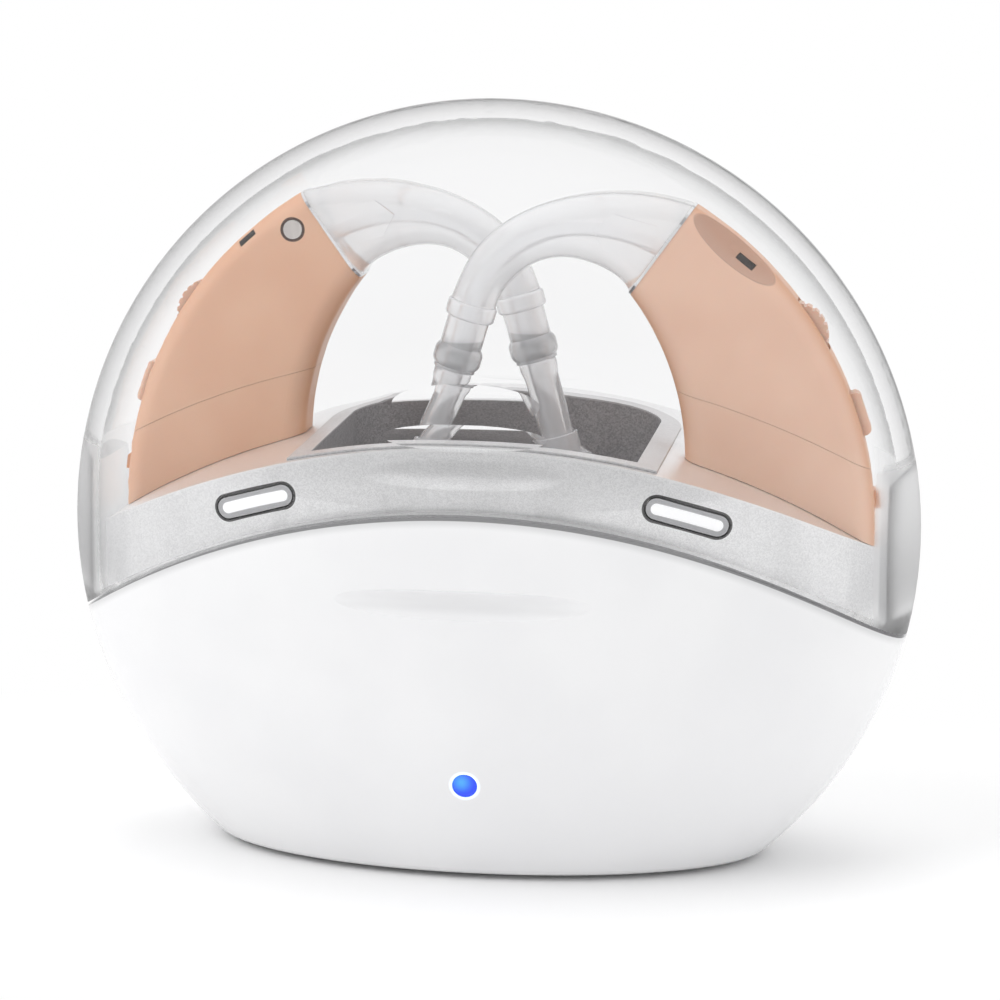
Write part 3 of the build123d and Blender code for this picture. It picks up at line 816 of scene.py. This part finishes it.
def tip_shape(side):
    """A flared dome, open below, with a socket for the tube in its neck."""
    seat = tube_radius + tip_clearance
    socket = tip_overlap + tip_clearance
    outside = [
        (seat, 0.0), (tip_neck, 0.0), (tip_neck, tip_overlap), (2.9 * mm, 2.6 * mm),
        (3.7 * mm, 4.2 * mm), (tip_wide, 6.0 * mm), (tip_wide, tip_length),
    ]
    inside = [
        (tip_wide - tip_wall, tip_length), (tip_wide - tip_wall, 5.6 * mm), (2.6 * mm, 4.2 * mm),
        (tube_bore, 3.6 * mm), (tube_bore, socket), (seat, socket),
    ]
    placing = along_tube(side, tube_line(side)[2] - tip_overlap)
    return lathe(rounded(outside + inside, tip_rounding), placing)


for side in ("left", "right"):
    new_piece(
        side + "_silicone_tip", tip_shape(side), tube_clear, "case", (side + "_ear_tip",)
    )


# Lid
# One clear polished dome with three finger grooves on each face and a thick, softly frosted lug
# at each end. It stands on the base's arched edge and lifts straight off.
dome_clear = (0.99, 0.99, 0.992)
dome_rim_shade = (0.05, 0.05, 0.051)
dome_smudged = 0.015
lug_face = 40.2 * mm
lug_top = 40.2 * mm
lug_foot = 26.0 * mm
lug_fade = 12 * mm
lug_foot_fade = 3 * mm
lug_shade_top = 0.1
lug_shade_low = 0.55
lug_shade_grey = (0.32, 0.32, 0.325)
lug_rim_shade = (0.72, 0.72, 0.725)
lug_frost = 0.30
lid_clear, tree, shader = new_material("clear_dome", Transmission_Weight=1.0, IOR=1.3)
place = parts(tree, point(tree))
off = math(tree, "ABSOLUTE", place["X"])
below = smooth_step(tree, place["Z"], lug_top + 2.5 * mm, lug_top + 2 * mm)
frosted = smooth_step(tree, off, lug_face - 0.9 * mm, lug_face - 0.4 * mm)
frosted = math(tree, "MULTIPLY", frosted, below)
thick = smooth_step(tree, off, lug_face - 0.1 * mm, lug_face + 0.2 * mm)
# Painted shade: each lug is painted grey, darker downwards, fading out just above its foot.
shade_downwards = smooth_step(tree, place["Z"], lug_top, lug_top - lug_fade, lug_shade_top, lug_shade_low)
foot = smooth_step(tree, place["Z"], lug_foot, lug_foot + lug_foot_fade)
lug = math(tree, "MULTIPLY", math(tree, "MULTIPLY", thick, below), math(tree, "MULTIPLY", shade_downwards, foot))
# Painted shade: where the wall turns away the dome goes nearly black, and a paler grey on the frosted lug
# faces.
rim_shade_tone = blend(tree, frosted, dome_rim_shade, lug_rim_shade)
dome = blend(tree, rim_share(tree, 0.35, 0.95), dome_clear, rim_shade_tone)
tree.links.new(blend(tree, lug, dome, lug_shade_grey), shader["Base Color"])
polish = smudged_gloss(tree, use_skin(tree, 1200.0, 40.0), 0.0, dome_smudged)
gloss = math(tree, "MAXIMUM", polish, math(tree, "MULTIPLY", frosted, lug_frost))
tree.links.new(gloss, shader["Roughness"])
let_lamps_through(lid_clear)
depth = node(tree, "VolumeAbsorption", {"Color": (0.50, 0.50, 0.51, 1.0), "Density": 12.0})
tree.links.new(depth.outputs[0], tree.nodes["Material Output"].inputs["Volume"])
paint(lid_clear, "lid")


# Floor, light and camera
# A plain pale floor, three soft boxes above and in front of the case, and a long lens a little
# right of the middle and above the case.
floor_size = 3.0
floor_shape = bmesh.new()
bmesh.ops.create_grid(floor_shape, x_segments=1, y_segments=1, size=floor_size)
floor_mesh = bpy.data.meshes.new("floor")
floor_shape.to_mesh(floor_mesh)
floor_shape.free()
floor = bpy.data.objects.new("floor", floor_mesh)
bpy.context.scene.collection.objects.link(floor)
floor_paint, tree, shader = new_material(
    "floor", Base_Color=(0.95, 0.95, 0.952, 1.0), Roughness=0.9, Specular_IOR_Level=0.0
)
floor_mesh.materials.append(floor_paint)
path = node(tree, "LightPath").outputs
seen = math(tree, "MAXIMUM", path["Is Camera Ray"], path["Is Glossy Ray"])
seen = math(tree, "MAXIMUM", seen, path["Is Transmission Ray"])
oval = squeezed(tree, (0.55, 1.0, 1.0))
afar = smooth_step(tree, length(tree, oval), 28 * mm, 65 * mm)
share = math(tree, "MULTIPLY", seen, afar)
backdrop = node(tree, "Emission", {"Color": (1.0, 1.0, 1.0, 1.0), "Strength": 1.0}).outputs[0]
both = node(tree, "MixShader", {0: share, 1: tree.nodes["Principled BSDF"].outputs[0], 2: backdrop})
tree.links.new(both.outputs[0], tree.nodes["Material Output"].inputs["Surface"])

sky_level = 0.86
front_level = 0.38
world = bpy.data.worlds.new("studio")
bpy.context.scene.world = world
world.use_nodes = True
tree = world.node_tree
path = node(tree, "LightPath").outputs
seen = math(tree, "MAXIMUM", path["Is Transmission Ray"], path["Is Glossy Ray"])
sky = smooth_step(tree, seen, 0.0, 1.0, sky_level, 1.0)
straight = math(tree, "LESS_THAN", math(tree, "ADD", path["Glossy Depth"], path["Diffuse Depth"]), 0.5)
way = {0: node(tree, "TexCoord").outputs["Generated"], 1: (0.0, -1.0, 0.0)}
forwards = node(tree, "VectorMath", way, operation="DOT_PRODUCT").outputs["Value"]
dim = smooth_step(tree, forwards, 0.45, 0.97, 1.0, front_level)
bright = math(tree, "MAXIMUM", math(tree, "MULTIPLY", sky, dim), straight)
tree.links.new(bright, tree.nodes["Background"].inputs["Strength"])
tree.nodes["Background"].inputs["Color"].default_value = (1.0, 1.0, 1.0, 1.0)

target = Vector((0.0, 0.0, 35 * mm))


def soft_box(name, place, size, power):
    """A square lamp aimed at the case, which the gloss and the clear plastic don't show."""
    data = bpy.data.lights.new(name, "AREA")
    data.size = size
    data.energy = power
    lamp = bpy.data.objects.new(name, data)
    lamp.location = place
    lamp.rotation_mode = "QUATERNION"
    lamp.rotation_quaternion = (target - Vector(place)).to_track_quat("-Z", "Y")
    lamp.visible_glossy = False
    lamp.visible_transmission = False
    bpy.context.scene.collection.objects.link(lamp)


soft_box("key_light", (-0.45, -0.30, 0.50), size=0.45, power=1.55)
soft_box("fill_light", (0.50, -0.30, 0.30), size=0.35, power=0.4)
soft_box("top_light", (0.0, 0.12, 0.70), size=0.45, power=0.9)

aim = Vector((0.0, 0.0, 40 * mm))
distance = 400 * mm
azimuth = radians(8.06)
elevation = radians(10.56)
roll = radians(0.53)
lens_pixels = 3867
frame_pixels = 1000
optical_centre = (495.03, 466.22)
forward = Vector((-sin(azimuth) * cos(elevation), cos(azimuth) * cos(elevation), -sin(elevation)))
right = Vector((cos(azimuth), sin(azimuth), 0.0))
up = right.cross(forward)
across = right * cos(roll) + up * sin(roll)
upward = up * cos(roll) - right * sin(roll)
lens = bpy.data.cameras.new("camera")
lens.sensor_width = 36.0
lens.lens = lens_pixels / frame_pixels * lens.sensor_width
lens.shift_x = (frame_pixels / 2 - optical_centre[0]) / frame_pixels
lens.shift_y = -(frame_pixels / 2 - optical_centre[1]) / frame_pixels
lens.clip_start = 10 * mm
camera = bpy.data.objects.new("camera", lens)
turned = Matrix((across, upward, -forward)).transposed().to_4x4()
camera.matrix_world = Matrix.Translation(aim - forward * distance) @ turned
bpy.context.scene.collection.objects.link(camera)
bpy.context.scene.camera = camera
bpy.context.scene.view_settings.view_transform = "Standard"
